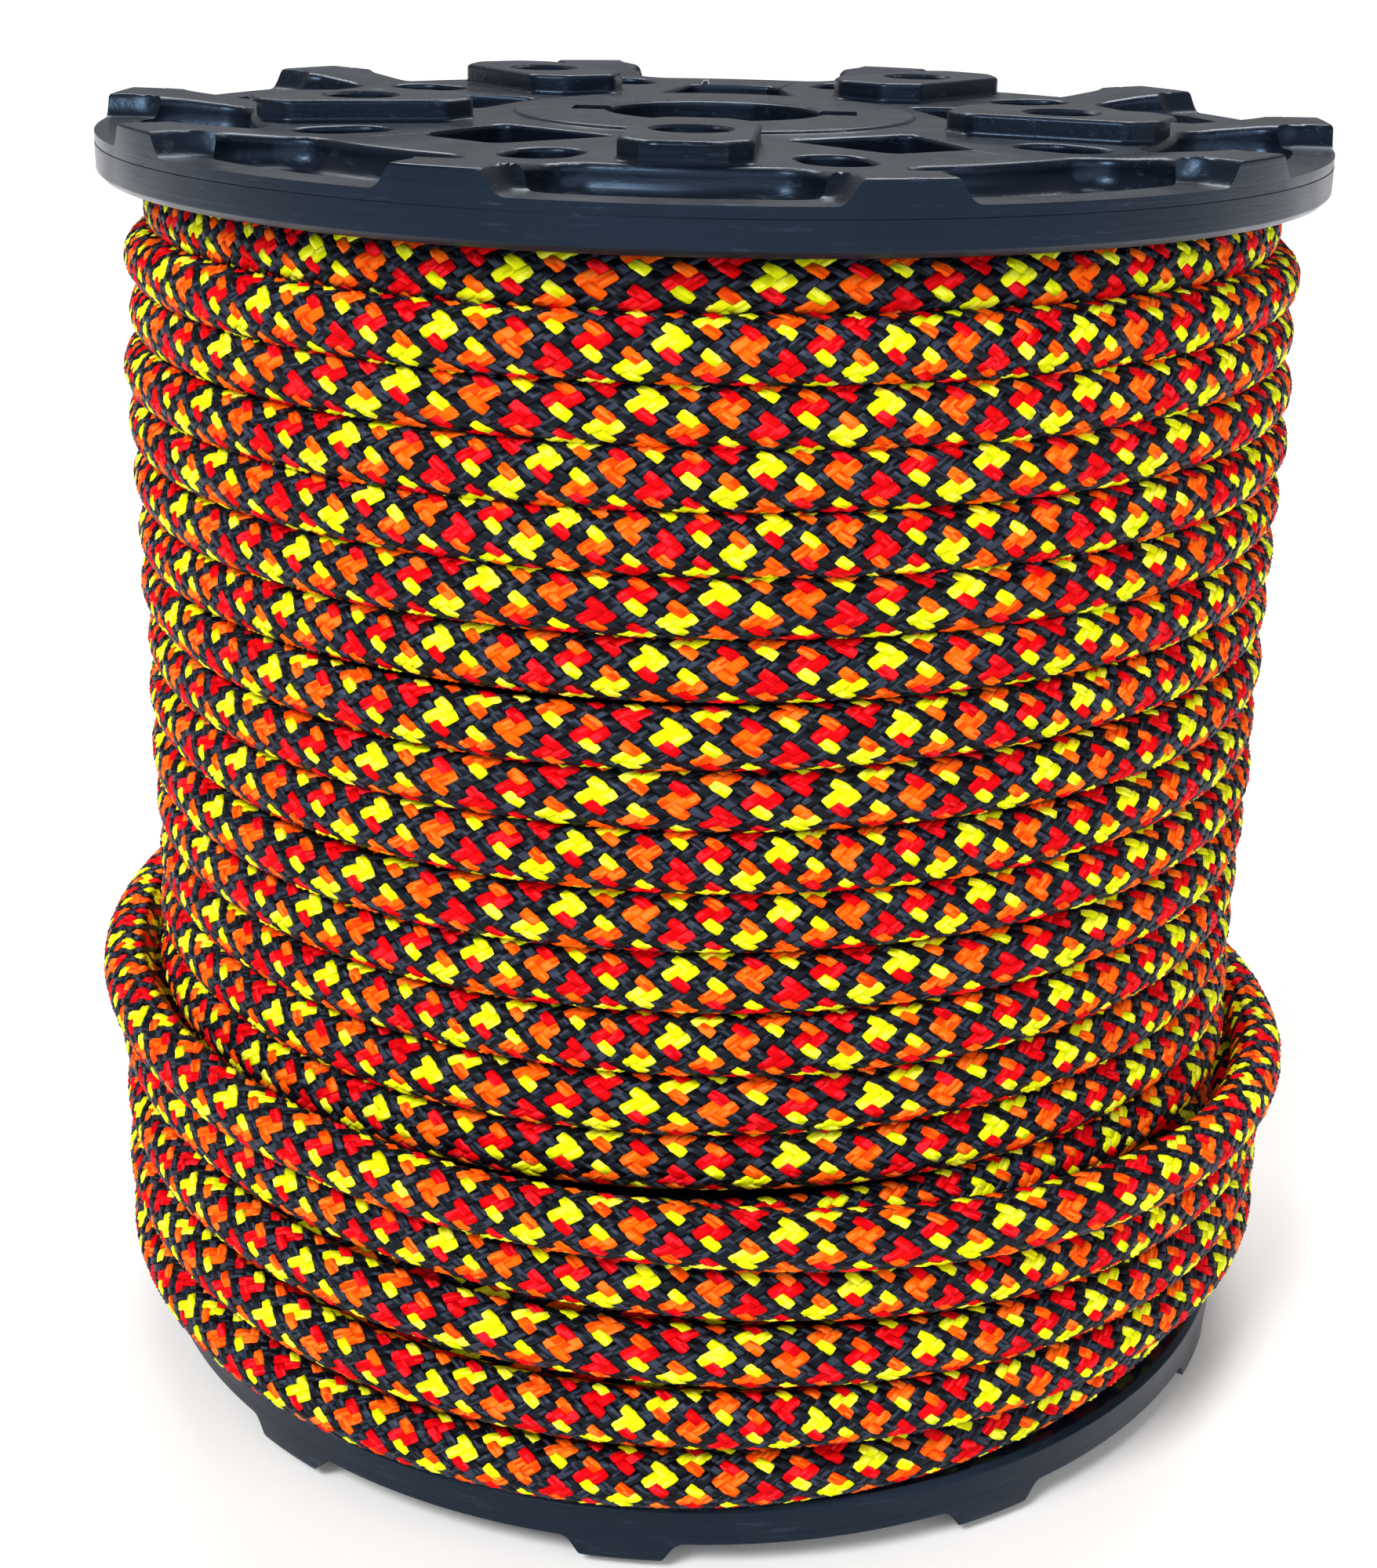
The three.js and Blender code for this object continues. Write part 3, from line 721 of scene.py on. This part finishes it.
def braid(points, first):
    """The sheath as separate floats of doubled yarn over two crossings each, two over and two
    under. Returns vertices, quads, triangles, the yarn of each, and the number of lattice points
    that the vertices start with."""
    surface = Surface(points)
    last = surface.last
    half = STRANDS // 2
    s, m = np.meshgrid(np.arange(last + 1), np.arange(half), indexing="ij")
    t = -half + 2 * m + (s + 1) % 2
    valley = np.full(s.size, VALLEY * ROPE_RADIUS)
    blocks = [surface.at(s.ravel().astype(float), t.ravel().astype(float), valley)]
    lattice = s.size
    count = lattice
    quads, triangles, quad_yarn, triangle_yarn = [], [], [], []
    marker_yarns = np.array([first["yellow"], first["orange"], first["red"]])

    def add_faces(faces, own, past=None):
        """Faces of every float. Those on its flanks are black where a black float lies past
        them: partly since that covers its edge, partly as that float's painted shadow in the
        crease."""
        yarn = own if past is None else np.where(marker_colour(*past)[0], own, first["black"])
        for corners in faces:
            four = len(corners) == 4
            (quads if four else triangles).append(np.stack(corners, 1))
            (quad_yarn if four else triangle_yarn).append(yarn)

    for family, parity, start in (("A", 1, -13), ("B", 0, -14)):
        s, t = np.meshgrid(
            np.arange(2 + parity, last - 2, 2), start + 4 * np.arange(STRANDS // 4), indexing="ij"
        )
        s, t = s.ravel(), t.ravel()
        i, j = (s - t) // 2, (s + t) // 2
        marked, colour = marker_colour(family, i if family == "A" else j)
        own = np.where(marked, marker_yarns[colour], first["black"])
        plain = np.abs(t + (0.5 if family == "A" else -0.5)) > DETAIL_LIMIT
        side_1, side_2 = (
            [corner_index(a, b) for a, b in side] for side in float_corners(family, s, t)
        )
        for a in (0, 1):
            corners = (side_2[a], side_2[a + 1], side_1[a + 1], side_1[a])
            add_faces([[c[plain] for c in corners]], own[plain])
        s, t, i, j, own = (values[~plain] for values in (s, t, i, j, own))
        b1, b2 = [c[~plain] for c in side_1], [c[~plain] for c in side_2]
        size, lean, slip = (RANDOM.normal(0, uneven, len(s)) for uneven in UNEVEN)
        turned = 1 if family == "A" else -1
        short, relief_end = ROUNDED_END[::turned], RELIEF_END[::turned]
        v = []
        for a, relief in enumerate((relief_end, RELIEF_MIDDLE, relief_end[::-1])):
            v.append([])
            for c, q in enumerate(ACROSS):
                p = (short[c], 0.5, 1 - short[-1 - c])[a] + slip
                where = place_in_float(family, s, t, p, q + lean * (1 - abs(2 * q - 1)))
                v[a].append(count + np.arange(len(s)))
                count += len(s)
                blocks.append(surface.at(*where, relief[c] * ROPE_RADIUS * (1 + size)))
        for a in (0, 1):
            for c in range(len(ACROSS) - 1):
                corners = (v[a][c + 1], v[a + 1][c + 1], v[a + 1][c], v[a][c])
                # each top facet takes one of its yarn's shades at random: plain, painted shade or
                # painted highlight
                add_faces([corners], own + RANDOM.choice(3, len(s), p=SHADE_CHANCES))
        (past_start, past_end), (past_side_1, past_side_2) = float_neighbours(family, i, j)
        for a in (0, 1):
            add_faces([(v[a][0], v[a + 1][0], b1[a + 1], b1[a])], own, past_side_1[a])
            add_faces([(b2[a], b2[a + 1], v[a + 1][-1], v[a][-1])], own, past_side_2[a])
        for row, low, high, past in (
            (v[0], b1[0], b2[0], past_start),
            (v[2][::-1], b2[2], b1[2], past_end),
        ):
            add_faces(
                [
                    (high, row[4], row[3]),
                    (high, row[3], row[2]),
                    (high, row[2], low),
                    (low, row[2], row[1]),
                    (low, row[1], row[0]),
                ],
                own,
                past,
            )
    return (
        np.vstack(blocks),
        np.vstack(quads),
        np.vstack(triangles),
        np.concatenate(quad_yarn),
        np.concatenate(triangle_yarn),
        lattice,
    )


def plain_tube(points, spacing, radius, segments, cap=False):
    """A plain round tube along points, as vertices, quads and triangles."""
    length = np.linalg.norm(np.diff(points, axis=0), axis=1).sum()
    centre, tangent = sampled(points, np.linspace(0, length, round(length / spacing) + 1))
    out, down = sides(centre, tangent)
    a = np.linspace(0, 2 * math.pi, segments, endpoint=False)
    ring = np.cos(a)[None, :, None] * out[:, None] + np.sin(a)[None, :, None] * down[:, None]
    vertices = (centre[:, None] + radius * ring).reshape(-1, 3)
    k, i = np.meshgrid(np.arange(len(centre) - 1), np.arange(segments), indexing="ij")
    k, i = k.ravel(), i.ravel()
    j = (i + 1) % segments
    here, ahead = k * segments, (k + 1) * segments
    quads = np.stack([here + i, here + j, ahead + j, ahead + i], 1)
    triangles = np.zeros((0, 3), int)
    if cap:
        end = (len(centre) - 1) * segments
        ring = end + np.arange(segments)
        middle = len(vertices)
        vertices = np.vstack([vertices, centre[-1]])
        triangles = np.stack([ring, np.roll(ring, -1), np.full(segments, middle)], 1)
    return vertices, quads, triangles


def facing_out(vertices, quads, centre_line):
    """Whether a tube's first quad faces away from its middle line."""
    a, b, c, d = vertices[quads[0]]
    normal = np.cross(b - a, d - a)
    return float(np.dot(normal, (a + b + c + d) / 4 - centre_line)) > 0


def make_rope():
    route, third = rope_route()
    materials, first = yarn_materials()
    vertices, quads, triangles, quad_yarn, triangle_yarn, lattice = braid(route[third:], first)
    hidden = plain_tube(route[: third + 4], COARSE_STEP, HIDDEN_RADIUS, segments=8)
    stub = plain_tube(route[-7:], 3, CORE_RADIUS, segments=32, cap=True)
    for (more, more_quads, more_triangles), yarn, middle in (
        (hidden, first["black"], route[0]),
        (stub, first["core"], route[-7]),
    ):
        if not facing_out(more, more_quads, middle):
            more_quads, more_triangles = more_quads[:, ::-1], more_triangles[:, ::-1]
        base = len(vertices)
        vertices = np.vstack([vertices, more])
        quads = np.vstack([quads, more_quads + base])
        quad_yarn = np.concatenate([quad_yarn, np.full(len(more_quads), yarn)])
        triangles = np.vstack([triangles, more_triangles + base])
        triangle_yarn = np.concatenate([triangle_yarn, np.full(len(more_triangles), yarn)])

    mesh = bpy.data.meshes.new("rope")
    mesh.vertices.add(len(vertices))
    mesh.vertices.foreach_set("co", (vertices * MM).astype(np.float32).ravel())
    corners = np.concatenate([quads.ravel(), triangles.ravel()]).astype(np.int32)
    mesh.loops.add(len(corners))
    mesh.loops.foreach_set("vertex_index", corners)
    starts = np.concatenate(
        [4 * np.arange(len(quads)), 4 * len(quads) + 3 * np.arange(len(triangles))]
    ).astype(np.int32)
    mesh.polygons.add(len(starts))
    mesh.polygons.foreach_set("loop_start", starts)
    for material in materials:
        mesh.materials.append(material)
    yarn = np.concatenate([quad_yarn, triangle_yarn]).astype(np.int32)
    mesh.polygons.foreach_set("material_index", yarn)
    mesh.update(calc_edges=True)
    mesh.validate()
    mesh.shade_smooth()
    ends = np.zeros(2 * len(mesh.edges), np.int32)
    mesh.edges.foreach_get("vertices", ends)
    sharp = mesh.attributes.get("sharp_edge")
    if sharp is None:
        sharp = mesh.attributes.new("sharp_edge", "BOOLEAN", "EDGE")
    sharp.data.foreach_set("value", (ends.reshape(-1, 2) < lattice).all(1))
    return linked("climbing_rope", mesh), route


def make_sleeve(route):
    """A shrunk-on sleeve over the rope's end: the braid shows through it as faint ridges."""
    start, ahead = Vector(route[-8]), Vector(route[-1] - route[-8]).normalized()
    first, length, outer, inner = 0.3, 32.0, 5.95, 5.3
    ridges, ridge_slant, ridge_height = 8, 1.9, 0.14
    start_lip, end_lip = 0.35, 0.5  # how far its edges are rolled in
    rings, segments = 64, 64
    vertices = []
    for k in range(rings + 1):
        z = first + length * k / rings
        lip = start_lip * max(0, 1 - k / 3) + end_lip * max(0, (k - rings + 2) / 2)
        for i in range(segments):
            a = 2 * math.pi * i / segments
            one_way, other_way = ridges * a + z * ridge_slant, ridges * a - z * ridge_slant
            ridge = 0.5 + 0.5 * math.cos(one_way) * math.cos(other_way)
            r = outer - lip - ridge_height * (1 - ridge)
            vertices.append((r * math.cos(a), r * math.sin(a), z))
    vertices += circle(inner, first + length, segments) + circle(inner, first, segments)
    faces = []
    levels = rings + 3
    for k in range(levels):
        low, high = k * segments, (k + 1) % levels * segments
        for i in range(segments):
            j = (i + 1) % segments
            faces.append((low + i, low + j, high + j, high + i))
    sleeve = mesh_object("end_sleeve", vertices, faces)
    turn = Vector((0, 0, 1)).rotation_difference(ahead).to_matrix().to_4x4()
    sleeve.data.transform(Matrix.Translation(start * MM) @ turn)
    sleeve.data.materials.append(shrink_sleeve())
    return shade(sleeve, 50)


# ---- The flanges ----
ABOVE = 3  # how far a cutter rises over the surface it opens
FILLET_STEPS = 6
LIP_ANGLE = 82  # degrees that a rounded lip turns through


def flared(outline, cut, floor, roundover, cove=0.0):
    """A cutter that opens the flange's top: a rounded foot of radius cove, straight sides, and
    a lip of radius roundover. outline(inset) gives its points, and cut turns them."""
    levels = []
    cove_steps = 2 * FILLET_STEPS if cove else 0
    for k in range(cove_steps + 1):
        a = math.pi / 2 * k / max(cove_steps, 1)
        inset = cove * (1 - math.sin(a))
        z = floor + cove * (1 - math.cos(a))
        levels.append([(x, y, z) for x, y in cut(outline(inset))])
    last = math.radians(LIP_ANGLE)
    for k in range(FILLET_STEPS + 1):
        b = last * k / FILLET_STEPS
        below = roundover * (math.sin(last) - math.sin(b))
        points = cut(outline(-roundover * (1 - math.cos(b))))
        levels.append([(x, y, top_level(x, y) - below) for x, y in points])
    levels.append([(x, y, z + ABOVE) for x, y, z in levels[-1]])
    return stack(levels)


def trough(azimuth):
    """The rounded trough behind the ledge, curved along the rim."""
    inner, outer, corner, floor, lip = 87, LEDGE_INNER_RADIUS, 7, 4.6, 1.5
    half_angle = 13.4
    middle = (inner + outer) / 2
    width = 2 * math.radians(half_angle) * middle
    foot = PLATEAU_LEVEL - floor - lip

    def outline(inset):
        size = (width - 2 * inset, outer - inner - 2 * inset)
        return rounded_rectangle(*size, middle, corner - inset, steps=10, divisions=20)

    return flared(outline, lambda o: placed(o, azimuth, middle), floor, lip, cove=foot)


def gap_between_tabs(azimuth):
    """The ledge between two tabs. The tabs' flanks are S-shaped, and their inner ends are
    rounded off into the trough."""
    outer, inner = FLANGE_RADIUS + 4, LEDGE_INNER_RADIUS - 6
    half_tab, flank, rounding = 3.5, 2.5, 3.2  # degrees: of a tab's top, flank and inner end
    rounded_from = LEDGE_INNER_RADIUS + 1.5
    hollow = 1.6  # over 1, the flank's foot is a larger hollow than its top is round
    rows, steps, side_steps = 14, 24, 12
    levels = []
    for k in range(rows + 1):
        t = k / rows
        z = LEDGE_LEVEL + (TAB_LEVEL - LEDGE_LEVEL) * float(smooth(t**hollow))
        half = 180 / TAB_COUNT - half_tab - flank * (1 - t)
        tip = half - rounding
        side = [inner + (outer - inner) * (1 - i / side_steps) for i in range(1, side_steps)]
        inset = [rounding * max(0, (rounded_from - r) / (rounded_from - inner)) ** 2 for r in side]
        flanks = list(zip(side, inset))
        points = [polar(outer, azimuth - half + 2 * half * i / steps) for i in range(steps + 1)]
        points += [polar(r, azimuth + half - narrower) for r, narrower in flanks]
        points += [polar(inner, azimuth + tip - 2 * tip * i / steps) for i in range(steps + 1)]
        points += [polar(r, azimuth - half + narrower) for r, narrower in reversed(flanks)]
        levels.append([(x, y, z) for x, y, _ in points])
    levels.append([(x, y, z + ABOVE) for x, y, z in levels[-1]])
    return stack(levels)


def slot(azimuth):
    """A blind slot with round ends, along a radius."""
    width, length, centre, floor, lip, foot = 12, 17, 77, 4.1, 0.9, 0.8

    def outline(inset):
        corner = width / 2 - inset - 0.01
        return rounded_rectangle(width - 2 * inset, length - 2 * inset, centre, corner, steps=10)

    return flared(outline, lambda o: placed(o, azimuth), floor, lip, cove=foot)


def window(azimuth):
    """A window through the flange, narrower towards the rim."""
    inner, outer, width, corner, lip = 43.5, 68.5, 28, 3, 0.9
    narrowing = 5 / 14

    def outline(inset):
        size = (width - 2 * inset, outer - inner - 2 * inset)
        straight = rounded_rectangle(*size, (inner + outer) / 2, corner - inset * 0.5)
        return [(x * (1 - narrowing * (y - inner) / (outer - inner)), y) for x, y in straight]

    return flared(outline, lambda o: placed(o, azimuth), -ABOVE, lip)


def keyway(azimuth):
    half, inner, outer = 4, 6, 27
    points = placed([(half, outer), (-half, outer), (-half, inner), (half, inner)], azimuth)
    return stack([[(x, y, z) for x, y in points] for z in (-ABOVE, BOSS_LEVEL)])


def octagon(width, length, corner, centre, inset):
    """A rectangle with its corners cut off, each cut end rounded a little."""
    rounding, steps = 1.6, 5
    w, l, c = width / 2 - inset, length / 2 - inset, corner - 0.4 * inset
    sharp = [
        (w, l - c), (w - c, l), (-w + c, l), (-w, l - c),
        (-w, -l + c), (-w + c, -l), (w - c, -l), (w, -l + c),
    ]
    points = []
    for k, here in enumerate(sharp):
        before, after = Vector(sharp[k - 1]), Vector(sharp[(k + 1) % 8])
        here = Vector(here)
        a = here + (before - here).normalized() * rounding
        b = here + (after - here).normalized() * rounding
        for i in range(steps + 1):
            t = i / steps
            p = a * (1 - t) ** 2 + here * 2 * t * (1 - t) + b * t**2
            points.append((p.x, p.y + centre))
    return points


def boss(azimuth):
    """A raised pad with a soft foot and a bevelled top edge."""
    width, length, corner, foot, steps = 22, 40, 5.5, 0.8, 4
    bevel = ((0.75, 0), (0.45, 0.12), (0.12, 0.5), (0, 0.8))  # down from the top, and inwards
    heights = [(PLATEAU_LEVEL - 2, -foot)]
    for k in range(steps + 1):
        a = math.pi / 2 * k / steps
        heights.append((PLATEAU_LEVEL + foot * (1 - math.cos(a)), -foot * (1 - math.sin(a))))
    heights += [(BOSS_LEVEL - down, inset) for down, inset in bevel]
    levels = []
    for z, inset in heights:
        outline = octagon(width, length, corner, BOSS_RADIUS, inset)
        levels.append([(x, y, z) for x, y in placed(outline, azimuth)])
    return stack(levels)


def round_cut(azimuth, radius, floor, top, bevel=0.0):
    """A cutter for a round hole in line with a boss."""
    x, y, _ = polar(BOSS_RADIUS, azimuth)
    sizes = [(radius, floor), (radius, top - bevel)]
    if bevel:
        sizes.append((radius + bevel, top))
    sizes.append((radius + bevel, top + ABOVE))
    return stack([circle(r, z, 48, x, y) for r, z in sizes])


def make_flange():
    """One flange with its rope-side face at z = 0 and its bosses up."""
    spigot_inner, spigot_outer, spigot_end, bevel = 71.2, 74.9, -5, 0.4
    well_radius, well_floor, bolt_hole_radius = 6.75, 4, 3.4
    spigot = [
        (spigot_inner, 0), (spigot_inner, spigot_end + bevel), (spigot_inner + bevel, spigot_end),
        (spigot_outer - bevel, spigot_end), (spigot_outer, spigot_end + bevel), (spigot_outer, 0),
    ]
    outer, seam, top = FLANGE_RADIUS, SEAM_LEVEL, TAB_LEVEL
    rim = [
        (outer - 1.3, 0), (outer - 1.1, 0.08), (outer - 0.12, 1.05), (outer, 1.3),
        (outer, seam - 0.16), (outer - 0.16, seam), (outer - 0.1, seam + 0.16),
        (outer - 0.1, top - 0.6), (outer - 0.28, top - 0.18), (outer - 0.7, top),
    ]
    dish = [(LEDGE_INNER_RADIUS, TAB_LEVEL), (DISH_RADIUS, PLATEAU_LEVEL)]
    hub, bore, face = HUB_RADIUS, BORE_RADIUS, HUB_LEVEL
    middle = [
        (hub + 1.4, PLATEAU_LEVEL), (hub + 0.7, PLATEAU_LEVEL + 0.2),
        (hub + 0.35, face - 0.2), (hub - 0.1, face),
        (bore + 1, face), (bore + 0.3, face - 0.3), (bore, face - 1), (bore, 0.5),
    ]
    profile = [(bore + 0.5, 0)] + spigot + rim + dish + middle
    flange = mesh_object("flange", *revolved(profile[::-1], 360))
    tabs = [360 / TAB_COUNT * k for k in range(TAB_COUNT)]
    bosses = [360 / BOSS_COUNT * k for k in range(BOSS_COUNT)]
    combined(flange, [boss(a) for a in bosses], "UNION")
    combined(flange, [trough(a) for a in tabs], "DIFFERENCE")
    combined(flange, [gap_between_tabs(a) for a in tabs], "DIFFERENCE")
    combined(flange, [slot(a + 180 / TAB_COUNT) for a in tabs], "DIFFERENCE")
    combined(flange, [window(a + 180 / BOSS_COUNT) for a in bosses], "DIFFERENCE")
    combined(flange, [keyway(a) for a in (-90, 90)], "DIFFERENCE")
    wells = [round_cut(a, well_radius, well_floor, BOSS_LEVEL, bevel=0.5) for a in bosses]
    combined(flange, wells, "DIFFERENCE")
    bolt_holes = [round_cut(a, bolt_hole_radius, -ABOVE, well_floor) for a in bosses]
    combined(flange, bolt_holes, "DIFFERENCE")
    return shade(flange)


def make_flanges():
    flange = make_flange()
    flange.data.materials.clear()
    flange.data.materials.append(reel_plastic())
    mesh = flange.data
    bpy.data.objects.remove(flange)
    upper = linked("reel_flange_upper", mesh)
    lower = linked("reel_flange_lower", mesh.copy())
    upper.data.transform(Matrix.Translation((0, 0, UPPER_FACE_Z * MM)))
    over = Matrix.Rotation(math.pi, 4, "Y")
    turned = Matrix.Rotation(math.radians(LOWER_FLANGE_TURN), 4, "Z") @ over
    lower.data.transform(Matrix.Translation((0, 0, LOWER_FACE_Z * MM)) @ turned)
    for piece, node in ((upper, "upper_flange"), (lower, "lower_flange")):
        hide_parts(node)
        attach(piece, "root")


# ---- Barrel, screws and washers ----
def make_barrel():
    """The tube between the flanges, with a lug at each end for each screw."""
    low, high = LOWER_FACE_Z + GAP, UPPER_FACE_Z - GAP
    bevel = 0.5
    lug_width, lug_depth, lug_centre, lug_corner = 18, 18.2, 68.1, 2.5
    lug_start, lug_end = 5.7, 27  # from the flange's rope-side face
    hole_radius = 3.3
    profile = [
        (BARREL_INNER, low + bevel), (BARREL_INNER + bevel, low),
        (BARREL_OUTER - bevel, low), (BARREL_OUTER, low + bevel),
        (BARREL_OUTER, high - bevel), (BARREL_OUTER - bevel, high),
        (BARREL_INNER + bevel, high), (BARREL_INNER, high - bevel),
    ]
    barrel = mesh_object("reel_barrel", *revolved(profile[::-1], 180))
    lugs, holes = [], []
    for k in range(BOSS_COUNT):
        azimuth = 360 / BOSS_COUNT * k
        for turned, bottom, top in (
            (azimuth, UPPER_FACE_Z - lug_end, UPPER_FACE_Z - lug_start),
            (azimuth + LOWER_FLANGE_TURN, LOWER_FACE_Z + lug_start, LOWER_FACE_Z + lug_end),
        ):
            square = rounded_rectangle(lug_width, lug_depth, lug_centre, lug_corner)
            outline = placed(square, turned)
            lugs.append(stack([[(x, y, z) for x, y in outline] for z in (bottom, top)]))
            holes.append(round_cut(turned, hole_radius, bottom - 1, top))
    combined(barrel, lugs, "UNION")
    combined(barrel, holes, "DIFFERENCE")
    shade(barrel)
    barrel.data.materials.clear()
    barrel.data.materials.append(barrel_plastic())
    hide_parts("barrel")
    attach(barrel, "root")


def screw_mesh(material):
    """A socket-head screw, its head's top at z = 0: knurled side, bevelled rim, hexagon socket."""
    shank, head, seat, end = 3, 5, -6, -33  # radii, and heights under the head and at the tip
    axis = 0.01
    profile = [
        (axis, end), (shank - 0.5, end), (shank, end + 0.6), (shank, seat - 0.3),
        (shank + 0.3, seat), (head - 0.15, seat), (head, seat + 0.2),
        (head, -0.9), (head - 0.14, -0.4), (head - 0.5, -0.06), (head - 0.8, 0), (axis, 0),
    ]
    vertices, faces = revolved(profile[::-1], 72)
    knurled = []
    for k, (x, y, z) in enumerate(vertices):
        groove = 0.965 if (k // len(profile)) % 2 and seat + 0.1 < z < -0.8 else 1
        knurled.append((x * groove, y * groove, z))
    screw = mesh_object("screw", knurled, faces)
    socket = ((2.4, -3), (2.887, -2.7), (2.887, -0.3), (3.2, 0), (3.2, 1))  # corner radii, heights
    combined(screw, [stack([circle(r, z, 6) for r, z in socket])], "DIFFERENCE")
    shade(screw, 25)
    screw.data.materials.clear()
    screw.data.materials.append(material)
    mesh = screw.data
    bpy.data.objects.remove(screw)
    return mesh


def washer_mesh(material):
    """A stamped washer, its top at z = 0, rolled over a little at its outer edge."""
    inner, outer, foot = 3.3, 6, -1.2
    profile = [
        (inner, foot + 0.1), (inner + 0.1, foot), (outer - 0.1, foot), (outer, foot + 0.15),
        (outer - 0.02, -0.35), (outer - 0.25, -0.06), (outer - 0.6, 0),
        (inner + 0.15, 0), (inner, -0.12),
    ]
    washer = mesh_object("washer", *revolved(profile[::-1], 72))
    shade(washer, 25)
    washer.data.materials.append(material)
    mesh = washer.data
    bpy.data.objects.remove(washer)
    return mesh


def make_fasteners():
    steel = zinc_steel()
    for kind, mesh in (("bolt", screw_mesh(steel)), ("washer", washer_mesh(steel))):
        for end in ("upper", "lower"):
            for k in range(BOSS_COUNT):
                node = f"{end}_{kind}_{k + 1}"
                low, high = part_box(node)
                middle = (low + high) / 2
                top = high.z if end == "upper" else low.z
                flip = Matrix.Identity(4) if end == "upper" else Matrix.Rotation(math.pi, 4, "X")
                spin = Matrix.Rotation(RANDOM.uniform(0, math.pi), 4, "Z")
                place = Matrix.Translation((middle.x, middle.y, top)) @ flip @ spin
                look = "screw" if kind == "bolt" else "ring"
                piece = linked(f"{end}_{look}_{k + 1}", mesh)
                piece.matrix_world = place
                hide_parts(node)
                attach(piece, "root")


# ---- Everything together ----
make_camera()
make_light()
make_floor()

rope, route = make_rope()
sleeve = make_sleeve(route)
for piece, nodes, slot_name in (
    (rope, ("rope_full_layers", "rope_outer_layer", "rope_last_turn"), "rope_sheath"),
    (sleeve, ("rope_end_sleeve",), "rope_end"),
):
    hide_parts(*nodes)
    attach(piece, "root")

make_flanges()
make_barrel()
make_fasteners()
